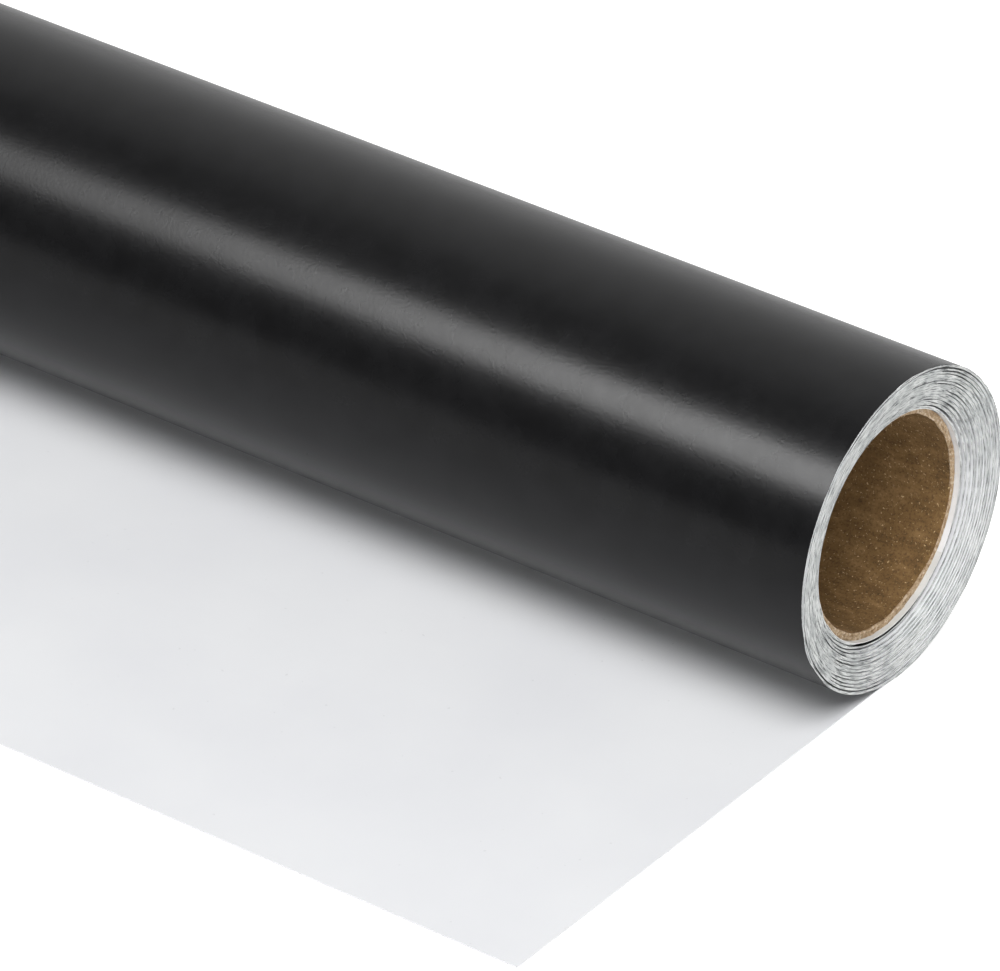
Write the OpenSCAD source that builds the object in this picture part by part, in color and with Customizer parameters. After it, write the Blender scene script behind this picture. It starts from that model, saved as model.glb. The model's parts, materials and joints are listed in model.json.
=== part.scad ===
// Roll of self-adhesive sign vinyl on a paper core, with its free end laid out flat.
// X runs along the core, the free end points along -Y and +Z is up. The origin is the centre of the bore.

/* [Web] */
// Width of the vinyl, across the roll
web_w = 304.8; // [200:0.1:610]
// Thickness of the vinyl film with its adhesive coat
film_t = 0.10; // [0.08:0.01:0.12]
// Thickness of the paper release liner
liner_t = 0.18; // [0.14:0.01:0.20]
// Radial distance from one turn to the next
pitch = 0.375; // [0.325:0.005:0.5]
// Whole turns wound on the core under the outer turn
wound_turns = 13; // [3:1:30]
// Air left under the outer turn, which lets the wound turns slip round inside it
slip_gap = 0.13; // [0.13:0.01:0.3]

/* [Core] */
// Bore of the paper core
bore_d = 25.4; // [25.4:0.1:76.2]
// Thickness of the kraft ply that lines the bore
inner_ply_t = 0.20; // [0.1:0.05:1]
// Thickness of the grey board ply
middle_ply_t = 0.30; // [0.1:0.05:3]
// Thickness of the paper ply on the outside of the core
outer_ply_t = 0.20; // [0.1:0.05:1]
// How far each end of the core stands back from the edges of the web
core_recess = 2.0; // [0:0.1:5]

/* [Starting tape] */
// Thickness of the double-sided tape that fixes the inner end of the web
tape_t = 0.10; // [0.05:0.01:0.1]
// Where the tape starts, in degrees from +Y towards +Z
tape_from = -150; // [-170:1:-100]
// Arc of the core that the tape covers, in degrees
tape_arc = 110; // [60:1:150]
// How far each end of the tape stands back from the edges of the web
tape_recess = 1.2; // [0:0.1:20]

/* [Free end] */
// Length of the free end that is drawn back in as the roll turns
draw_len = 39.3; // [20:0.1:80]
// Number of strips that let the last of the free end curl
strips = 6; // [6:1:6]
// Length of each of those strips
strip_len = 5.0; // [4:0.5:8]

/* [Hidden] */

film_colour = [0.06, 0.06, 0.065];
liner_colour = [0.90, 0.91, 0.92];
kraft_colour = [0.44, 0.31, 0.18];
board_colour = [0.66, 0.60, 0.54];
tape_colour = [0.85, 0.80, 0.62];

web_t = film_t + liner_t;
core_len = web_w - 2 * core_recess;
bore_r = bore_d / 2;
middle_ply_r = bore_r + inner_ply_t;
outer_ply_r = middle_ply_r + middle_ply_t;
core_r = outer_ply_r + outer_ply_t;

// The spiral is made of quarter circles. Each quarter is larger than the one before it by
// quarter_step, and its centre is one corner of a square with that side, so that they meet smoothly.
quarter_step = pitch / 4;
wound_quarters = 4 * wound_turns;
start_clearance = quarter_step / 2 + 0.01;
start_r = core_r + tape_t + start_clearance;
last_quarter = wound_quarters + 3;
// How far in front of the bore's centre line the free end leaves the outer turn
seam_y = quarter_step / 2 + 0.01;
table_z = -(start_r + last_quarter * quarter_step + slip_gap + web_t + quarter_step / 2);

// Centre of quarter k, as [y, z]
function quarter_centre(k) =
    let (h = quarter_step / 2)
    [[-h, h], [h, h], [h, -h], [-h, -h]][k % 4];

// Radius of the inner side of the web in quarter k
function quarter_r(k) = start_r + k * quarter_step + (k < wound_quarters ? 0 : slip_gap);

// Stands a shape drawn along Z with its length along X, and its centre at the origin
module along_x(len) {
    translate([-len / 2, 0, 0]) rotate([90, 0, 90]) children();
}

module tube(r_in, r_out, len) {
    along_x(len) difference() {
        cylinder(r = r_out, h = len, $fn = 180);
        translate([0, 0, -1]) cylinder(r = r_in, h = len + 2, $fn = 180);
    }
}

// A bent sheet of constant thickness: arc degrees of a tube, which starts at angle from
module bent_sheet(r_in, thickness, from, arc, len) {
    along_x(len) rotate([0, 0, from])
        rotate_extrude(angle = arc, $fn = 180) translate([r_in, 0]) square([thickness, len]);
}

// Quarter k of the spiral, from offset to offset + thickness above the inner side of the web
module quarter_of_web(k, offset, thickness) {
    centre = quarter_centre(k);
    translate([0, centre[0], centre[1]])
        bent_sheet(quarter_r(k) + offset, thickness, -180 - 90 * k, 90, web_w);
}

// The web from quarter first to quarter last
module spiral(first, last, offset, thickness) {
    union() for (k = [first:last]) quarter_of_web(k, offset, thickness);
}

// A flat length of the free end: near and far are distances from the roll, low is above the table
module flat_web(near, far, low, thickness) {
    translate([-web_w / 2, -far, table_z + low]) cube([web_w, far - near, thickness]);
}

module core_inner_ply() { color(kraft_colour) tube(bore_r, middle_ply_r, core_len); }

module core_middle_ply() { color(board_colour) tube(middle_ply_r, outer_ply_r, core_len); }

module core_outer_ply() { color(board_colour) tube(outer_ply_r, core_r, core_len); }

module starting_tape() {
    color(tape_colour) bent_sheet(core_r, tape_t, tape_from, tape_arc, web_w - 2 * tape_recess);
}

module wound_liner() { color(liner_colour) spiral(0, wound_quarters - 1, 0, liner_t); }

module wound_film() { color(film_colour) spiral(0, wound_quarters - 1, liner_t, film_t); }

module outer_turn_liner() { color(liner_colour) spiral(wound_quarters, last_quarter, 0, liner_t); }

module outer_turn_film() { color(film_colour) spiral(wound_quarters, last_quarter, liner_t, film_t); }

module free_end_liner() { color(liner_colour) flat_web(seam_y, draw_len, film_t, liner_t); }

module free_end_film() { color(film_colour) flat_web(seam_y, draw_len, 0, film_t); }

module curl_liner(i) {
    near = draw_len + (i - 1) * strip_len;
    color(liner_colour) flat_web(near, near + strip_len, film_t, liner_t);
}

module curl_film(i) {
    near = draw_len + (i - 1) * strip_len;
    color(film_colour) flat_web(near, near + strip_len, 0, film_t);
}

core_inner_ply();
core_middle_ply();
core_outer_ply();
starting_tape();
wound_liner();
wound_film();
outer_turn_liner();
outer_turn_film();
free_end_liner();
free_end_film();
for (i = [1:strips]) {
    curl_liner(i);
    curl_film(i);
}
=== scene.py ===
"""Looks of a roll of sign vinyl: a wound web of black film on white liner, a paper core and a flat free end.

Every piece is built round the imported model's nodes. The axis of the roll is X, the free end points along -Y,
and angles round the roll are measured from +Y towards +Z. The web goes outward as the angle falls.
"""

import json
import math
import random

import bmesh
import bpy
import numpy as np
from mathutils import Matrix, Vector, noise

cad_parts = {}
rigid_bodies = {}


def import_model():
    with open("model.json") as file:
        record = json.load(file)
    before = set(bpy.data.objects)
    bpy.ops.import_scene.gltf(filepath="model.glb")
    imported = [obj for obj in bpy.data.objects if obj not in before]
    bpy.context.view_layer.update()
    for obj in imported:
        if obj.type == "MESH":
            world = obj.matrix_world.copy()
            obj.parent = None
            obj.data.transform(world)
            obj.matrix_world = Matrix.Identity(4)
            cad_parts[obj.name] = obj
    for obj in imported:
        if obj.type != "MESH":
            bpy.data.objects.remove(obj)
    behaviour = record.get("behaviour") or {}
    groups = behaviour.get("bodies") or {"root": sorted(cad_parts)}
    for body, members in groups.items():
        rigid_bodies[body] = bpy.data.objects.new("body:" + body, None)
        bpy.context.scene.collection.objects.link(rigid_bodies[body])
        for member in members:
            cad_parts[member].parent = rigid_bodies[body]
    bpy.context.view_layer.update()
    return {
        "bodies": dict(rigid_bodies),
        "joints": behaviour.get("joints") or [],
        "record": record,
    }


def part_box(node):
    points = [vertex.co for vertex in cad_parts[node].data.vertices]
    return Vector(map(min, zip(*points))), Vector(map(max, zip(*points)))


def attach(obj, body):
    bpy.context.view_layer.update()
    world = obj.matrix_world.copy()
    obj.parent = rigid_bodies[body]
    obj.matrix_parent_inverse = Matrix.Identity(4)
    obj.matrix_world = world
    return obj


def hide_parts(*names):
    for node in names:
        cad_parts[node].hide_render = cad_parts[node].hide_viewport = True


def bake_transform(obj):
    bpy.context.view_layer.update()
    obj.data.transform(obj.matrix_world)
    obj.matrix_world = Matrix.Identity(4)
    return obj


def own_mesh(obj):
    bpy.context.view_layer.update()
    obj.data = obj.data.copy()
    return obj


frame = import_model()

MM = 0.001

# Sizes that the frame gives, in metres
HALF_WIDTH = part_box("outer_turn_film")[1].x
TABLE_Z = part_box("free_end_film")[0].z
FILM_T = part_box("free_end_film")[1].z - TABLE_Z
LINER_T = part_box("free_end_liner")[1].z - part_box("free_end_liner")[0].z
WEB_T = FILM_T + LINER_T
ROLL_R = -TABLE_Z
BORE_R = next(m for m in frame["record"]["mounts"] if m["name"] == "core_bore")["dims"]["r_mm"] * MM
LINING_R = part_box("core_inner_ply")[1].y
BOARD_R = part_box("core_middle_ply")[1].y
CORE_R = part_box("core_outer_ply")[1].y
CORE_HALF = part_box("core_inner_ply")[1].x
FRONT_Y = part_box("curl_film_6")[0].y
JOINTS = {j["name"]: j for j in frame["joints"]}
STRIPS = sorted(b for b in frame["bodies"] if b.startswith("curl_"))
HINGES_Y = [JOINTS[f"{strip}_bend"]["pos_m"][1] for strip in STRIPS]
STRIP_LEN = HINGES_Y[0] - HINGES_Y[1]

# The wound web, in turns counted outward from its inner end
START_ANGLE = -113  # where the inner end of the web lies, in degrees
SEAM_ANGLE = -90  # where the outer turn starts and where the free end leaves it
SEAM_PASSES = 13  # how often the web passes the seam, the last time as the outer turn starts
WOUND_TURNS = SEAM_PASSES - (SEAM_ANGLE - START_ANGLE) / 360
ALL_TURNS = WOUND_TURNS + 1
OUTER_PITCH = 0.375 * MM
SLIP = 0.03 * MM  # the step from the wound turns out to the outer turn
FIRST_R = CORE_R + 0.10 * MM  # just clear of the starting tape
WOUND_PITCH = (ROLL_R - OUTER_PITCH - SLIP - WEB_T - FIRST_R) / WOUND_TURNS
CLIMB_FROM, CLIMB_TO = 0.825, 0.915  # the stretch of a turn where the web climbs to clear its inner end
CRUSHED_END = 0.024  # how much of a turn the crushed inner end of the web takes to reach its full thickness
SPACING_JITTER = 0.022 * MM  # how much the spacing of the turns varies
STEPS_PER_TURN = 240

# How far the web is shifted along +X: (turns from its inner end, millimetres). The inner turns have slid in.
SLIDE = (
    (0, -1.32),
    (1, -1.32),
    (1.3, -1.18),
    (2, -1.00),
    (3, -0.76),
    (5, -0.46),
    (8, -0.12),
    (10, 0.06),
    (12, 0.22),
    (ALL_TURNS - 0.7, 0.30),
    (ALL_TURNS - 0.3, 0.22),
    (ALL_TURNS, 0.0),
)

# How much the cut edge of the liner swells
OPEN_SWELL = 0.02 * MM  # everywhere
CLOSING_SWELL = 0.17 * MM  # on top of that where the gap to the next turn is closed

# The starting tape
TAPE_FROM, TAPE_TO = -150, -40  # its arc round the core, in degrees
TAPE_T = 0.09 * MM
TAPE_INSET = 1.28 * MM  # from the web's edges
# A near-black sheet of painted shade in the slit over the web's inner end
SHADE_SHEET_T = 0.045 * MM
SHADE_SHEET_INSET = 1.34 * MM
SHADE_SHEET_GAP = 0.022 * MM  # between the sheet of painted shade and the liner that it lines
SHADE_SHEET_END = 1.012  # where the sheet of painted shade ends, in turns

# The free end
FILM_INSET = 0.25 * MM  # how far the film stays inside the liner's long edges and front edge
LIFT = 0.22 * MM  # the highest that the free end's wave stands off the table

# The torn ends of the core
FIBRE_COUNT = 420
RIM_SEGMENTS = 420
RIM_SIDES = 8


def srgb(r, g, b):
    """A linear colour from 8-bit sRGB values."""
    def linear(v):
        v /= 255
        return v / 12.92 if v <= 0.04045 else ((v + 0.055) / 1.055) ** 2.4
    return (linear(r), linear(g), linear(b), 1)


def smooth(v, low, high):
    """0 below low, 1 above high and a smooth step between them."""
    v = min(max((v - low) / (high - low), 0), 1)
    return v * v * (3 - 2 * v)


def wave(x, y=0.0, seed=0.0):
    """Smooth noise from about -1 to 1."""
    return noise.noise(Vector((x, y, seed * 7.31 + 0.5)))


# ---------------------------------------------------------------- materials


class Shader:
    """A node tree with one Principled shader, and short ways to add nodes to it."""

    def __init__(self, name, **sockets):
        self.material = bpy.data.materials.new(name)
        self.material.use_nodes = True
        self.tree = self.material.node_tree
        self.out = self.tree.nodes["Principled BSDF"]
        for key, value in sockets.items():
            self.out.inputs[key.replace("_", " ")].default_value = value
        self.place = self.add("ShaderNodeTexCoord").outputs["Object"]

    def add(self, kind, **properties):
        node = self.tree.nodes.new(kind)
        for key, value in properties.items():
            setattr(node, key, value)
        return node

    def link(self, source, target):
        self.tree.links.new(source, target)

    def around(self):
        """Places that follow the turns, in metres: along X, out from the axis, and round it."""
        split = self.add("ShaderNodeSeparateXYZ")
        self.link(self.place, split.inputs["Vector"])
        across = self.add("ShaderNodeCombineXYZ")
        self.link(split.outputs["Y"], across.inputs["Y"])
        self.link(split.outputs["Z"], across.inputs["Z"])
        radius = self.add("ShaderNodeVectorMath", operation="LENGTH")
        self.link(across.outputs["Vector"], radius.inputs[0])
        angle = self.add("ShaderNodeMath", operation="ARCTAN2")
        self.link(split.outputs["Z"], angle.inputs[0])
        self.link(split.outputs["Y"], angle.inputs[1])
        arc = self.add("ShaderNodeMath", operation="MULTIPLY")
        self.link(angle.outputs["Value"], arc.inputs[0])
        arc.inputs[1].default_value = (CORE_R + ROLL_R) / 2
        place = self.add("ShaderNodeCombineXYZ")
        self.link(split.outputs["X"], place.inputs["X"])
        self.link(radius.outputs["Value"], place.inputs["Y"])
        self.link(arc.outputs["Value"], place.inputs["Z"])
        return place.outputs["Vector"]

    def noise(self, size, detail=2.0, stretch=(1, 1, 1), roughness=0.5, place=None):
        """Noise whose features are about size metres across, longer along an axis where stretch is over 1."""
        mapping = self.add("ShaderNodeMapping")
        mapping.inputs["Scale"].default_value = [1 / (size * s) for s in stretch]
        self.link(place or self.place, mapping.inputs["Vector"])
        texture = self.add("ShaderNodeTexNoise")
        texture.inputs["Scale"].default_value = 1
        texture.inputs["Detail"].default_value = detail
        texture.inputs["Roughness"].default_value = roughness
        self.link(mapping.outputs["Vector"], texture.inputs["Vector"])
        return texture.outputs["Fac"]

    def ramp(self, value, *stops):
        """A colour ramp through (position, colour) stops."""
        ramp = self.add("ShaderNodeValToRGB")
        elements = ramp.color_ramp.elements
        while len(elements) < len(stops):
            elements.new(0.5)
        for element, (position, colour) in zip(elements, stops):
            element.position = position
            element.color = colour
        self.link(value, ramp.inputs["Fac"])
        return ramp.outputs["Color"]

    def between(self, value, low, high):
        """value from 0 to 1 mapped to low to high."""
        node = self.add("ShaderNodeMapRange")
        node.inputs["To Min"].default_value = low
        node.inputs["To Max"].default_value = high
        self.link(value, node.inputs["Value"])
        return node.outputs["Result"]

    def mix(self, share, a, b, mode="MIX"):
        node = self.add("ShaderNodeMix", data_type="RGBA", blend_type=mode)
        for socket, value in ((0, share), (6, a), (7, b)):
            if isinstance(value, bpy.types.NodeSocket):
                self.link(value, node.inputs[socket])
            else:
                node.inputs[socket].default_value = value
        return node.outputs[2]

    def bump(self, *layers):
        """layers are (height, distance in metres), from the coarsest to the finest."""
        normal = None
        for height, distance in layers:
            node = self.add("ShaderNodeBump")
            node.inputs["Distance"].default_value = distance
            self.link(height, node.inputs["Height"])
            if normal:
                self.link(normal, node.inputs["Normal"])
            normal = node.outputs["Normal"]
        self.link(normal, self.out.inputs["Normal"])

    def colour(self, value):
        self.link(value, self.out.inputs["Base Color"])

    def rough(self, value):
        self.link(value, self.out.inputs["Roughness"])


def vinyl_material():
    """Satin black calendered vinyl: near black, with a fine grain that breaks up the highlight."""
    s = Shader("vinyl_film", IOR=1.5, Specular_IOR_Level=0.21)
    deep, pale = (0.0050, 0.0050, 0.0054, 1), (0.0074, 0.0074, 0.0080, 1)
    s.colour(s.ramp(s.noise(4 * MM, 3), (0.35, deep), (0.65, pale)))
    s.rough(s.between(s.noise(1.2 * MM, 4), 0.22, 0.29))
    s.bump((s.noise(14 * MM, 1), 0.06 * MM), (s.noise(0.36 * MM, 3, roughness=0.6), 0.012 * MM))
    return s.material


def film_edge_material():
    """The film's cut edge, dusted with paper fibre from the liner."""
    s = Shader("film_cut_edge", Roughness=0.7)
    dust = s.noise(0.5 * MM, 4, roughness=0.65)
    s.colour(s.ramp(dust, (0.50, (0.015, 0.015, 0.016, 1)), (0.66, srgb(150, 152, 152))))
    return s.material


def liner_material():
    """Smooth white release paper, slightly cool, with faint clouds and very few specks."""
    s = Shader("liner", IOR=1.45)
    clouds = s.ramp(s.noise(22 * MM, 3), (0.3, srgb(229, 230, 233)), (0.7, srgb(234, 235, 237)))
    specks = s.ramp(s.noise(0.7 * MM, 1), (0.2, (0, 0, 0, 1)), (0.23, (1, 1, 1, 1)))
    s.colour(s.mix(0.10, clouds, specks, "MULTIPLY"))
    s.rough(s.between(s.noise(3 * MM, 3), 0.42, 0.52))
    s.bump((s.noise(9 * MM, 2), 0.03 * MM), (s.noise(0.25 * MM, 4, roughness=0.7), 0.003 * MM))
    return s.material


def liner_edge_material():
    """The cut edge of the liner: white paper fibre with grey streaks that run along the turns."""
    s = Shader("liner_cut_edge", Roughness=0.85)
    around = s.around()
    streaks = s.ramp(
        s.noise(0.13 * MM, 4, (3, 1, 11), 0.6, around),
        (0.33, srgb(70, 73, 74)),
        (0.42, srgb(180, 182, 182)),
        (0.52, srgb(238, 239, 238)),
    )
    patches = s.ramp(s.noise(2.2 * MM, 3), (0.40, srgb(196, 198, 198)), (0.60, srgb(226, 227, 226)))
    s.colour(s.mix(1, streaks, patches, "MULTIPLY"))
    s.bump((s.noise(0.10 * MM, 3, (2, 1, 5), 0.5, around), 0.02 * MM))
    return s.material


def kraft_material():
    """Raw brown kraft paper: mottled, with short pale fibres."""
    s = Shader("kraft", Roughness=0.9)
    mottle = s.ramp(
        s.noise(1.6 * MM, 6, (2.2, 1, 1), 0.62),
        (0.30, srgb(98, 73, 39)),
        (0.50, srgb(122, 93, 54)),
        (0.70, srgb(144, 113, 72)),
    )
    pores = s.ramp(s.noise(0.30 * MM, 3, roughness=0.6), (0.36, srgb(104, 78, 44)), (0.50, (1, 1, 1, 1)))
    specks = s.ramp(s.noise(0.26 * MM, 2), (0.64, (0, 0, 0, 1)), (0.74, (1, 1, 1, 1)))
    s.colour(s.mix(specks, s.mix(0.42, mottle, pores, "MULTIPLY"), srgb(206, 178, 134)))
    s.bump((s.noise(0.8 * MM, 5), 0.08 * MM), (s.noise(0.22 * MM, 3), 0.03 * MM))
    return s.material


def board_material():
    """Pale torn board at the ends of the core."""
    s = Shader("core_board", Roughness=0.95)
    s.colour(
        s.ramp(
            s.noise(0.5 * MM, 6, roughness=0.7),
            (0.32, srgb(118, 92, 62)),
            (0.50, srgb(178, 152, 120)),
            (0.66, srgb(214, 198, 176)),
        )
    )
    s.bump((s.noise(0.25 * MM, 5, roughness=0.7), 0.10 * MM))
    return s.material


def fibre_material():
    s = Shader("torn_fibres", Roughness=0.9)
    s.colour(s.ramp(s.noise(1.5 * MM, 2), (0.35, srgb(150, 122, 86)), (0.65, srgb(216, 196, 164))))
    return s.material


def tape_material():
    """Thin white tissue tape."""
    s = Shader("tape", Roughness=0.6)
    s.colour(s.ramp(s.noise(2 * MM, 4), (0.35, srgb(206, 206, 204)), (0.65, srgb(218, 218, 216))))
    s.bump((s.noise(0.3 * MM, 3), 0.02 * MM))
    return s.material


def painted_shade_material():
    """Painted shade: a near-black colour on the outside of the tape and on the sheet in the slit, standing in
    for the slit's shade.
    """
    s = Shader("tape_adhesive", Roughness=0.6)
    s.colour(s.ramp(s.noise(0.8 * MM, 4), (0.4, srgb(16, 16, 16)), (0.6, srgb(30, 30, 29))))
    return s.material


def floor_material():
    """A pale table that also glows, like a light table: more for the camera, and less in reflections."""
    s = Shader("floor", Roughness=0.9)
    s.colour(s.ramp(s.noise(0.5, 1), (0.3, (0.44, 0.44, 0.44, 1)), (0.7, (0.46, 0.46, 0.46, 1))))
    s.out.inputs["Specular IOR Level"].default_value = 0
    s.out.inputs["Emission Color"].default_value = (1, 1, 1, 1)
    ray = s.add("ShaderNodeLightPath")
    glow = s.add("ShaderNodeMath", operation="ADD")
    s.link(s.between(ray.outputs["Is Glossy Ray"], 0.70, 0.42), glow.inputs[0])
    s.link(s.between(ray.outputs["Is Camera Ray"], 0, 0.20), glow.inputs[1])
    s.link(glow.outputs["Value"], s.out.inputs["Emission Strength"])
    return s.material


VINYL = vinyl_material()
FILM_EDGE = film_edge_material()
LINER = liner_material()
LINER_EDGE = liner_edge_material()
KRAFT = kraft_material()
BOARD = board_material()
FIBRE = fibre_material()
TAPE = tape_material()
PAINTED_SHADE = painted_shade_material()


# ---------------------------------------------------------------- meshes


def new_piece(name, points, faces, materials, face_slots=None, flat_faces=None):
    """A mesh object. face_slots are the faces' material numbers, and flat_faces says which faces are flat."""
    mesh = bpy.data.meshes.new(name)
    mesh.from_pydata([tuple(p) for p in points], [], faces)
    for material in materials:
        mesh.materials.append(material)
    if face_slots is not None:
        mesh.polygons.foreach_set("material_index", face_slots)
    smooth_faces = [True] * len(faces) if flat_faces is None else [not f for f in flat_faces]
    mesh.polygons.foreach_set("use_smooth", smooth_faces)
    work = bmesh.new()
    work.from_mesh(mesh)
    bmesh.ops.recalc_face_normals(work, faces=work.faces)
    for edge in work.edges:
        edge.smooth = all(face.smooth for face in edge.link_faces)
    work.to_mesh(mesh)
    work.free()
    mesh.update()
    piece = bpy.data.objects.new(name, mesh)
    bpy.context.scene.collection.objects.link(piece)
    return piece


def settle(piece, body, node=None):
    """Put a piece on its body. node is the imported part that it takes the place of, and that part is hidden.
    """
    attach(piece, body)
    if node:
        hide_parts(node)


def closed_sheet(name, low, high, materials):
    """A closed sheet between two grids of points, each an array of rows, columns and 3.

    Its rim is the second material, and its high side is the third if there is one.
    """
    rows, columns = low.shape[:2]
    count = rows * columns
    points = np.concatenate([low.reshape(-1, 3), high.reshape(-1, 3)])

    def at(i, j, side):
        return side * count + i * columns + j

    faces = []
    for i in range(rows - 1):
        for j in range(columns - 1):
            faces.append((at(i, j, 0), at(i, j + 1, 0), at(i + 1, j + 1, 0), at(i + 1, j, 0)))
            faces.append((at(i, j, 1), at(i + 1, j, 1), at(i + 1, j + 1, 1), at(i, j + 1, 1)))
    body_faces = len(faces)
    for j in (0, columns - 1):
        for i in range(rows - 1):
            faces.append((at(i, j, 0), at(i + 1, j, 0), at(i + 1, j, 1), at(i, j, 1)))
    for i in (0, rows - 1):
        for j in range(columns - 1):
            faces.append((at(i, j, 0), at(i, j, 1), at(i, j + 1, 1), at(i, j + 1, 0)))
    rim = [k >= body_faces for k in range(len(faces))]
    high_slot = 2 if len(materials) > 2 else 0
    slots = [1 if rim[k] else high_slot * (k % 2) for k in range(len(faces))]
    return new_piece(name, points, faces, materials, slots, rim)


def round_point(x, radius, degrees):
    a = math.radians(degrees)
    return (x, radius * math.cos(a), radius * math.sin(a))


# ---------------------------------------------------------------- the web


def turn_angle(t):
    """The angle round the roll, in degrees, t turns out from the inner end of the web."""
    return START_ANGLE - 360 * t


def web_inner_r(t):
    """Radius of the web's inner side. The first turns climb clear of the web's inner end just before it."""
    if t > WOUND_TURNS:
        return ROLL_R - WEB_T - OUTER_PITCH * (ALL_TURNS - t)
    whole = math.floor(t)
    part = t - whole
    climb = smooth(part, CLIMB_FROM, CLIMB_TO) ** 0.7
    step_share = math.exp(-whole / 1.5) if whole < WOUND_TURNS - 1 else 0
    fade = smooth(t, 1.0, 1.3) * smooth(WOUND_TURNS - t, 0.9, 1.4)
    jitter = fade * SPACING_JITTER * wave(t * 4.7, 0, 4)
    return FIRST_R + WOUND_PITCH * (whole + part + (climb - part) * step_share) + jitter


def edge_shift(t):
    """How far the web is shifted along +X, with a small wander from turn to turn."""
    depth = np.interp(t, *zip(*SLIDE))
    fade = smooth(ALL_TURNS - t, 0.0, 0.3) * smooth(t, 0.95, 1.4)
    wander = 0.10 * wave(t * 0.9, 0, 1) + 0.10 * wave(t * 3.1, 0, 2) + 0.045 * wave(t * 17, 0, 3)
    return (depth + fade * wander) * MM


def gap_open(t):
    """0 where the swollen cut edge of the liner closes the gap to the next turn, 1 where a dark gap shows."""
    slow = wave(t * 7.43, 0, 5)
    quick = wave(t * 26.7, 0, 6)
    upper_left = -math.cos(math.radians(turn_angle(t) + 35))
    slit = smooth(t, CLIMB_FROM - 0.04, CLIMB_FROM) * (1 - smooth(t, 1.01, 1.04))
    return max(slit, smooth(0.8 * slow + 0.7 * quick + 0.04 + 0.22 * upper_left, 0.0, 0.30))


def swell_shares(t):
    """The shares of the swelling that go inward and outward. They let the roll spin in the outer turn."""
    if t > WOUND_TURNS:
        return 0.1, 0.6
    return 0.4, 0.6 - 0.35 * smooth(t, WOUND_TURNS - 1.1, WOUND_TURNS - 1.0)


def web_columns(count_inside):
    """Distances from the middle of the web: close together near the cut edges."""
    near = [0.0, 0.35, 1.5, 5.0]
    inside = np.linspace(-1, 1, count_inside) * (HALF_WIDTH - 12 * MM)
    left = [-HALF_WIDTH + d * MM for d in near]
    right = [HALF_WIDTH - d * MM for d in reversed(near)]
    return np.array([*left, *inside, *right])


def web_sheets(prefix, turns, columns, surface):
    """The liner and the film of a stretch of the wound web. surface(t, x) is how far it rises there."""
    edge_columns = (0, len(columns) - 1)
    grids = np.zeros((4, len(turns), len(columns), 3))
    for i, t in enumerate(turns):
        angle = turn_angle(t)
        inner = web_inner_r(t)
        shift = edge_shift(t)
        gap = gap_open(t)
        crush = 0.12 + 0.88 * smooth(t, 0, CRUSHED_END)
        liner_t, web_t = LINER_T * crush, WEB_T * crush
        swell = (OPEN_SWELL + CLOSING_SWELL * (1 - gap)) * crush
        inward, outward = swell_shares(t)
        set_back = (0.05 + 0.16 * (0.5 + 0.5 * wave(t * 4.3, 0, 9))) * MM
        for j, x in enumerate(columns):
            rise = surface(t, x)
            levels = [inner, inner + liner_t, inner + liner_t, inner + web_t]
            film_x = x
            if j in edge_columns:
                levels[0] -= inward * swell
                levels[1] += outward * swell
                levels[2] += 0.2 * swell
                film_x = x - math.copysign(set_back * (1 - 0.7 * gap), x)
            for k, level in enumerate(levels):
                place = film_x if k > 1 else x
                grids[k, i, j] = round_point(place + shift, level + rise, angle)
    liner = closed_sheet(f"{prefix}_liner_sheet", grids[0], grids[1], [LINER, LINER_EDGE])
    film = closed_sheet(f"{prefix}_film_sheet", grids[2], grids[3], [VINYL, FILM_EDGE])
    return liner, film


def wound_web():
    """The turns that turn with the core."""
    turns = np.linspace(0, WOUND_TURNS, round(WOUND_TURNS * STEPS_PER_TURN) + 1)

    def surface(t, x):
        fade = smooth(WOUND_TURNS - t, 0.9, 1.6) * smooth(t, 0.0, 0.6)
        return fade * 0.03 * MM * wave(t * 2.3, x * 9, 11)

    liner, film = web_sheets("wound", turns, web_columns(3), surface)
    settle(liner, "roll", "wound_liner")
    settle(film, "roll", "wound_film")


def outer_turn():
    """The outermost turn, whose film is the roll's visible surface."""
    turns = np.linspace(WOUND_TURNS, ALL_TURNS, STEPS_PER_TURN + 1)

    def surface(t, x):
        fade = smooth(t - WOUND_TURNS, 0.0, 0.2) * smooth(ALL_TURNS - t, 0.0, 0.12)
        return fade * (0.012 * wave(t * 5, x * 40, 12) + 0.010 * wave(t * 14, x * 90, 13)) * MM

    liner, film = web_sheets("outer_turn", turns, web_columns(61), surface)
    settle(liner, "outer_wrap", "outer_turn_liner")
    settle(film, "outer_wrap", "outer_turn_film")


# ---------------------------------------------------------------- the free end


def lift(x, y):
    """How far the free end stands off the table: a gentle wave that dies out at its edges."""
    along = smooth(-y, 6 * MM, 22 * MM) * smooth(y - FRONT_Y, 0, 16 * MM)
    across = smooth(HALF_WIDTH - abs(x), 0, 20 * MM)
    return along * across * LIFT * (0.5 + 0.5 * wave(x * 14, y * 22, 21))


def flat_layer(name, y_near, y_far, low, thickness, inset, materials):
    """A flat stretch of one layer of the free end. inset pulls it in from the long edges."""
    rows = max(5, round(abs(y_far - y_near) / (1.0 * MM)) + 1)
    columns = 97
    grid = np.zeros((rows, columns, 3))
    for i, y in enumerate(np.linspace(y_near, y_far, rows)):
        for j, x in enumerate(np.linspace(inset - HALF_WIDTH, HALF_WIDTH - inset, columns)):
            grid[i, j] = (x, y, TABLE_Z + low + lift(x, y))
    return closed_sheet(name, grid, grid + np.array([0, 0, thickness]), materials)


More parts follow.
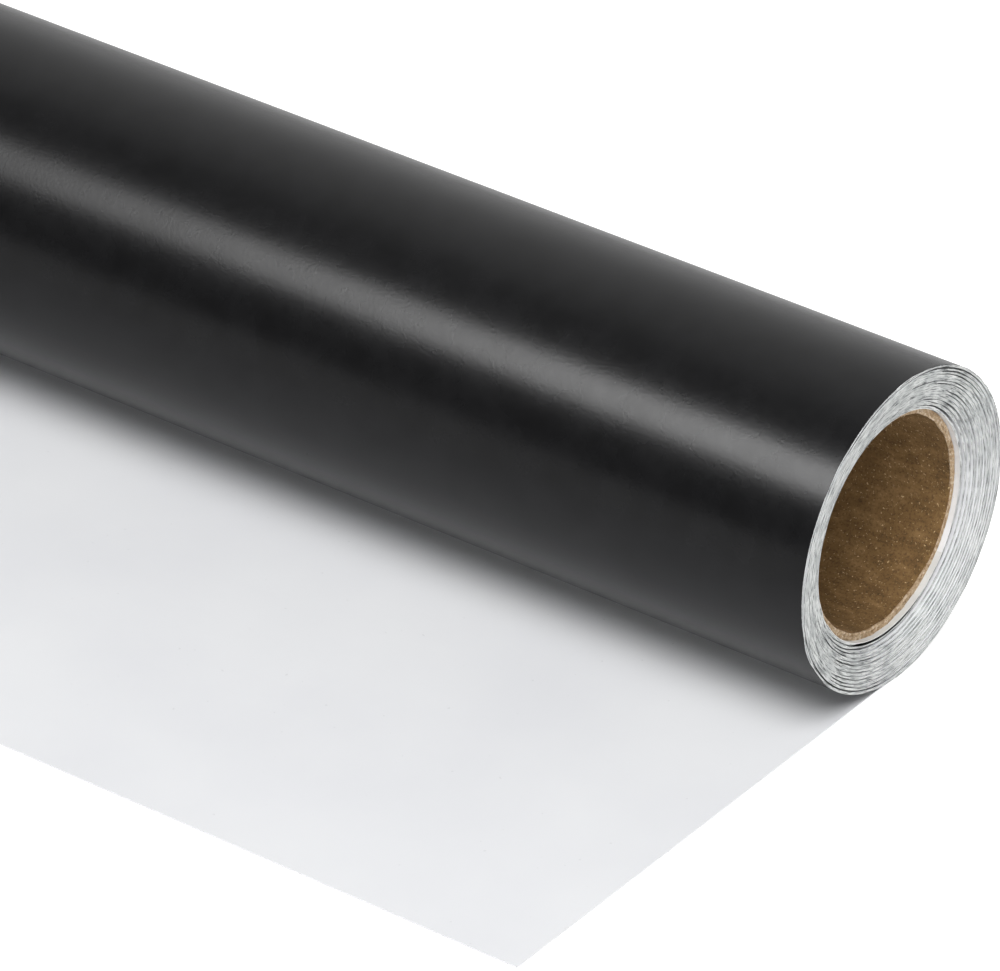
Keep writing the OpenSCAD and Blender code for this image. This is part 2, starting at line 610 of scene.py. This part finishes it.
def free_end():
    """The free end lies flat. Its near stretch is drawn in under the roll, and the rest is laid as flat strips
    in place of the curl parts.
    """
    layers = (
        ("film", "vinyl_film", 0, FILM_T, FILM_INSET, [VINYL, FILM_EDGE]),
        ("liner", "liner", FILM_T, LINER_T, 0, [LINER, LINER]),
    )
    half = STRIP_LEN / 2
    near_end = HINGES_Y[0] + half
    for layer, slot, low, thickness, inset, materials in layers:
        sheet = flat_layer(f"free_end_{layer}_sheet", 0, near_end, low, thickness, inset, materials)
        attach(sheet, "free_end")
        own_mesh(sheet)
        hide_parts(f"free_end_{layer}")
        for i, (strip, hinge_y) in enumerate(zip(STRIPS, HINGES_Y)):
            far = FRONT_Y + inset if i == len(STRIPS) - 1 else hinge_y - half
            number = strip.split("_")[1]
            name = f"curl_{layer}_sheet_{number}"
            piece = flat_layer(name, hinge_y + half, far, low, thickness, inset, materials)
            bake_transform(piece)
            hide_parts(f"curl_{layer}_{number}")


# ---------------------------------------------------------------- the core


def fray(degrees, seed):
    """How strongly the core's end is torn at an angle, from 0 to about 1."""
    a = math.radians(degrees)
    bottom = smooth(math.cos(a - math.radians(-105)), 0.3, 0.95)
    top_right = smooth(math.cos(a - math.radians(35)), 0.6, 0.98)
    return max(bottom, top_right) * (0.55 + 0.45 * wave(math.cos(a) * 6, math.sin(a) * 6, seed))


def ply(name, node, inner, outer, material, rough_end, seed):
    """One ply of the core: a tube whose cut ends are ragged."""

    def ring_wave(degrees, size, offset):
        a = math.radians(degrees)
        return wave(math.cos(a) * size, math.sin(a) * size, seed + offset)

    angles = range(360)
    near_end = [CORE_HALF - distance * MM for distance in (0, 0.3, 1.2, 4, 12)]
    xs = [*[-x for x in near_end], *np.linspace(-0.13, 0.13, 9), *reversed(near_end)]
    last = len(xs) - 1
    points = []
    for j, x in enumerate(xs):
        end = 1 if j == last else -1 if j == 0 else 0
        for r in (inner, outer):
            for angle in angles:
                ragged = ring_wave(angle, 9, end) + 0.6 * ring_wave(angle, 34, 3)
                place = x + end * rough_end * ragged * (0.3 + fray(angle, seed))
                dip = 0.03 * MM * abs(ring_wave(angle, 20, 5)) if end else 0
                points.append(round_point(place, r + (dip if r == inner else -dip), angle))
    n = len(angles)
    faces = []

    def join(ring_a, ring_b):
        for i in range(n):
            k = (i + 1) % n
            faces.append((ring_a * n + i, ring_a * n + k, ring_b * n + k, ring_b * n + i))

    for j in range(last):
        join(2 * j, 2 * j + 2)
        join(2 * j + 1, 2 * j + 3)
    sides = len(faces)
    join(0, 1)
    join(2 * last, 2 * last + 1)
    ends = [k >= sides for k in range(len(faces))]
    piece = new_piece(name, points, faces, [material, BOARD], [int(e) for e in ends], ends)
    settle(piece, "roll", node)


def torn_rim(side):
    """The burr of torn board at one mouth of the bore: a lumpy rim that leans a little into the bore."""
    points, faces = [], []
    for i in range(RIM_SEGMENTS):
        angle = 360 * i / RIM_SEGMENTS
        size = (0.05 + 0.42 * max(0, fray(angle, 31))) * MM
        for k in range(RIM_SIDES):
            b = 2 * math.pi * k / RIM_SIDES
            lump = 1 + 0.45 * wave(i * 0.9, k * 0.8, 33)
            radius = LINING_R - 0.05 * MM - 0.5 * size + 0.6 * size * lump * math.cos(b)
            x = CORE_HALF - 0.1 * MM + 0.55 * size * lump * math.sin(b)
            points.append(round_point(side * x, radius, angle))
    for i in range(RIM_SEGMENTS):
        row, next_row = i * RIM_SIDES, (i + 1) % RIM_SEGMENTS * RIM_SIDES
        for k in range(RIM_SIDES):
            q = (k + 1) % RIM_SIDES
            faces.append((row + k, row + q, next_row + q, next_row + k))
    name = "torn_rim_right" if side > 0 else "torn_rim_left"
    settle(new_piece(name, points, faces, [BOARD]), "roll")


def add_thread(points, faces, root, heading, bend, length, thick):
    """Add one fibre: a bent three-sided thread that tapers from its root."""
    first = len(points)
    one = heading.orthogonal().normalized()
    two = heading.cross(one)
    for step in range(4):
        share = step / 3
        centre = root + heading * (length * share) + bend * (length * share * share)
        width = thick * (1 - 0.7 * share)
        for corner in range(3):
            b = 2 * math.pi * corner / 3
            points.append(centre + one * (width * math.cos(b)) + two * (width * math.sin(b)))
    for step in range(3):
        for corner in range(3):
            a = first + 3 * step + corner
            b = first + 3 * step + (corner + 1) % 3
            faces.append((a, b, b + 3, a + 3))
    faces.append((first, first + 1, first + 2))
    faces.append((first + 9, first + 10, first + 11))


def torn_fibres(side):
    """Short loose fibres round one mouth of the core, most of them where its end is torn."""
    rng = random.Random(40 + side)
    points, faces = [], []
    made = 0
    while made < FIBRE_COUNT:
        angle = rng.uniform(0, 360)
        if rng.random() > 0.12 + 0.9 * max(0, fray(angle, 31)):
            continue
        made += 1
        radius = rng.uniform(BORE_R, BOARD_R + 0.1 * MM)
        root = Vector(round_point(side * (CORE_HALF - 0.02 * MM), radius, angle))
        out = Vector((side, 0, 0))
        inward = -Vector(round_point(0, 1, angle))
        around = out.cross(inward)
        heading = out * rng.uniform(0.1, 0.8) + inward * rng.uniform(-0.2, 0.9)
        heading += around * rng.uniform(-1.2, 1.2)
        bend = Vector([rng.uniform(-1, 1) for _ in range(3)]) * 0.5
        length = rng.uniform(0.12, 0.45) * MM
        thick = rng.uniform(0.018, 0.038) * MM
        add_thread(points, faces, root, heading.normalized(), bend, length, thick)
    name = "core_fibres_right" if side > 0 else "core_fibres_left"
    settle(new_piece(name, points, faces, [FIBRE]), "roll")


def starting_tape():
    """The tape that holds the inner end of the web. It stands out past the core, nearly to the web's edge."""
    angles = np.linspace(TAPE_FROM, TAPE_TO, 111)
    shares = np.linspace(-1, 1, 25)
    low = np.zeros((len(angles), len(shares), 3))
    high = low.copy()
    for i, angle in enumerate(angles):
        for j, share in enumerate(shares):
            x = share * (HALF_WIDTH - TAPE_INSET - 0.03 * MM * wave(angle * 0.12, share, 51))
            low[i, j] = round_point(x, CORE_R, angle)
            high[i, j] = round_point(x, CORE_R + TAPE_T, angle)
    # The tape's outer side is near-black painted shade that darkens the slit.
    piece = closed_sheet("starting_tape_strip", low, high, [TAPE, TAPE, PAINTED_SHADE])
    settle(piece, "roll", "starting_tape")


def slit_shade_sheet():
    """A thin near-black sheet of painted shade that lines the first turn where it climbs over the web's inner
    end, darkening the slit.
    """
    turns = np.linspace(CLIMB_FROM, SHADE_SHEET_END, 70)
    low = np.zeros((len(turns), 2, 3))
    high = low.copy()
    for i, t in enumerate(turns):
        top = web_inner_r(t) - SHADE_SHEET_GAP
        for j, side in enumerate((-1, 1)):
            x = side * (HALF_WIDTH - SHADE_SHEET_INSET)
            low[i, j] = round_point(x, top - SHADE_SHEET_T, turn_angle(t))
            high[i, j] = round_point(x, top, turn_angle(t))
    piece = closed_sheet("starting_tape_flap", low, high, [PAINTED_SHADE, PAINTED_SHADE])
    settle(piece, "roll")


# ---------------------------------------------------------------- stage


def camera():
    """The photograph's view: a very long lens, far away in front, to the right and above."""
    place = Vector((HALF_WIDTH + 23.867 * ROLL_R, -35.547 * ROLL_R, 27.057 * ROLL_R))
    azimuth, elevation = math.radians(36.91), math.radians(32.04)
    level = math.cos(elevation)
    back = Vector((math.sin(azimuth) * level, -math.cos(azimuth) * level, math.sin(elevation)))
    data = bpy.data.cameras.new("camera")
    data.lens = 321.8
    data.sensor_width = 36
    data.clip_start = 0.05
    data.clip_end = 20
    eye = bpy.data.objects.new("camera", data)
    eye.location = place
    eye.rotation_mode = "QUATERNION"
    eye.rotation_quaternion = (-back).to_track_quat("-Z", "Y")
    bpy.context.scene.collection.objects.link(eye)
    bpy.context.scene.camera = eye


def area_light(name, place, target, size, power):
    data = bpy.data.lights.new(name, "AREA")
    data.shape = "RECTANGLE"
    data.size, data.size_y = size
    data.energy = power
    light = bpy.data.objects.new(name, data)
    light.location = place
    light.rotation_mode = "QUATERNION"
    light.rotation_quaternion = (Vector(target) - Vector(place)).to_track_quat("-Z", "Y")
    light.visible_camera = False
    bpy.context.scene.collection.objects.link(light)
    return light


def lights():
    """Strip softboxes in front for the long highlight, a key from above on the right, and a low fill."""
    for name, x, width, power in (("strip", -0.185, 0.80, 16.5), ("strip_far", -0.935, 0.70, 2.4)):
        strip = area_light(name, round_point(x, 1.1, 130), (x, 0, 0), (width, 0.42), power)
        strip.visible_diffuse = False
    area_light("key", round_point(0.45, 1.25, 115), (0.05, -0.02, 0), (0.9, 0.8), 17.0)
    area_light("low_fill", (1.15, -0.80, 0.30), (0.15, 0, 0), (0.5, 0.5), 5.6)


def world():
    """A studio that is bright behind the roll and dark in front of it. The camera itself sees plain white."""
    made = bpy.data.worlds.new("studio")
    made.use_nodes = True
    nodes, links = made.node_tree.nodes, made.node_tree.links
    background = nodes["Background"]
    place = nodes.new("ShaderNodeTexCoord")
    split = nodes.new("ShaderNodeSeparateXYZ")
    links.new(place.outputs["Generated"], split.inputs["Vector"])
    angle = nodes.new("ShaderNodeMath")
    angle.operation = "ARCTAN2"
    links.new(split.outputs["Z"], angle.inputs[0])
    links.new(split.outputs["Y"], angle.inputs[1])
    share = nodes.new("ShaderNodeMapRange")
    share.inputs["From Min"].default_value = 0
    share.inputs["From Max"].default_value = math.pi
    links.new(angle.outputs["Value"], share.inputs["Value"])
    ramp = nodes.new("ShaderNodeValToRGB")
    stops = ((0.0, 0.90), (0.32, 0.95), (0.42, 0.70), (0.49, 0.28), (0.56, 0.12), (0.80, 0.04), (1.0, 0.03))
    elements = ramp.color_ramp.elements
    while len(elements) < len(stops):
        elements.new(0.5)
    for element, (position, value) in zip(elements, stops):
        element.position = position
        element.color = (value, value, value, 1)
    links.new(share.outputs["Result"], ramp.inputs["Fac"])
    ray = nodes.new("ShaderNodeLightPath")
    colour = ramp.outputs["Color"]
    for kind, value in (("Is Diffuse Ray", 0.16), ("Is Camera Ray", 1)):
        mix = nodes.new("ShaderNodeMix")
        mix.data_type = "RGBA"
        links.new(ray.outputs[kind], mix.inputs[0])
        links.new(colour, mix.inputs[6])
        mix.inputs[7].default_value = (value, value, value, 1)
        colour = mix.outputs[2]
    links.new(colour, background.inputs["Color"])
    bpy.context.scene.world = made


def floor():
    """A wide floor just below the free end."""
    half = 2.5
    z = TABLE_Z - 0.01 * MM
    points = [(-half, -half, z), (half, -half, z), (half, half, z), (-half, half, z)]
    piece = new_piece("floor", points, [(0, 1, 2, 3)], [floor_material()])


camera()
lights()
world()
floor()
bpy.context.scene.view_settings.view_transform = "Standard"

wound_web()
outer_turn()
free_end()
ply("core_lining", "core_inner_ply", BORE_R, LINING_R, KRAFT, 0.10 * MM, 61)
ply("core_board", "core_middle_ply", LINING_R, BOARD_R, BOARD, 0.16 * MM, 62)
ply("core_outside", "core_outer_ply", BOARD_R, CORE_R, BOARD, 0.10 * MM, 63)
for end in (1, -1):
    torn_rim(end)
    torn_fibres(end)
starting_tape()
slit_shade_sheet()
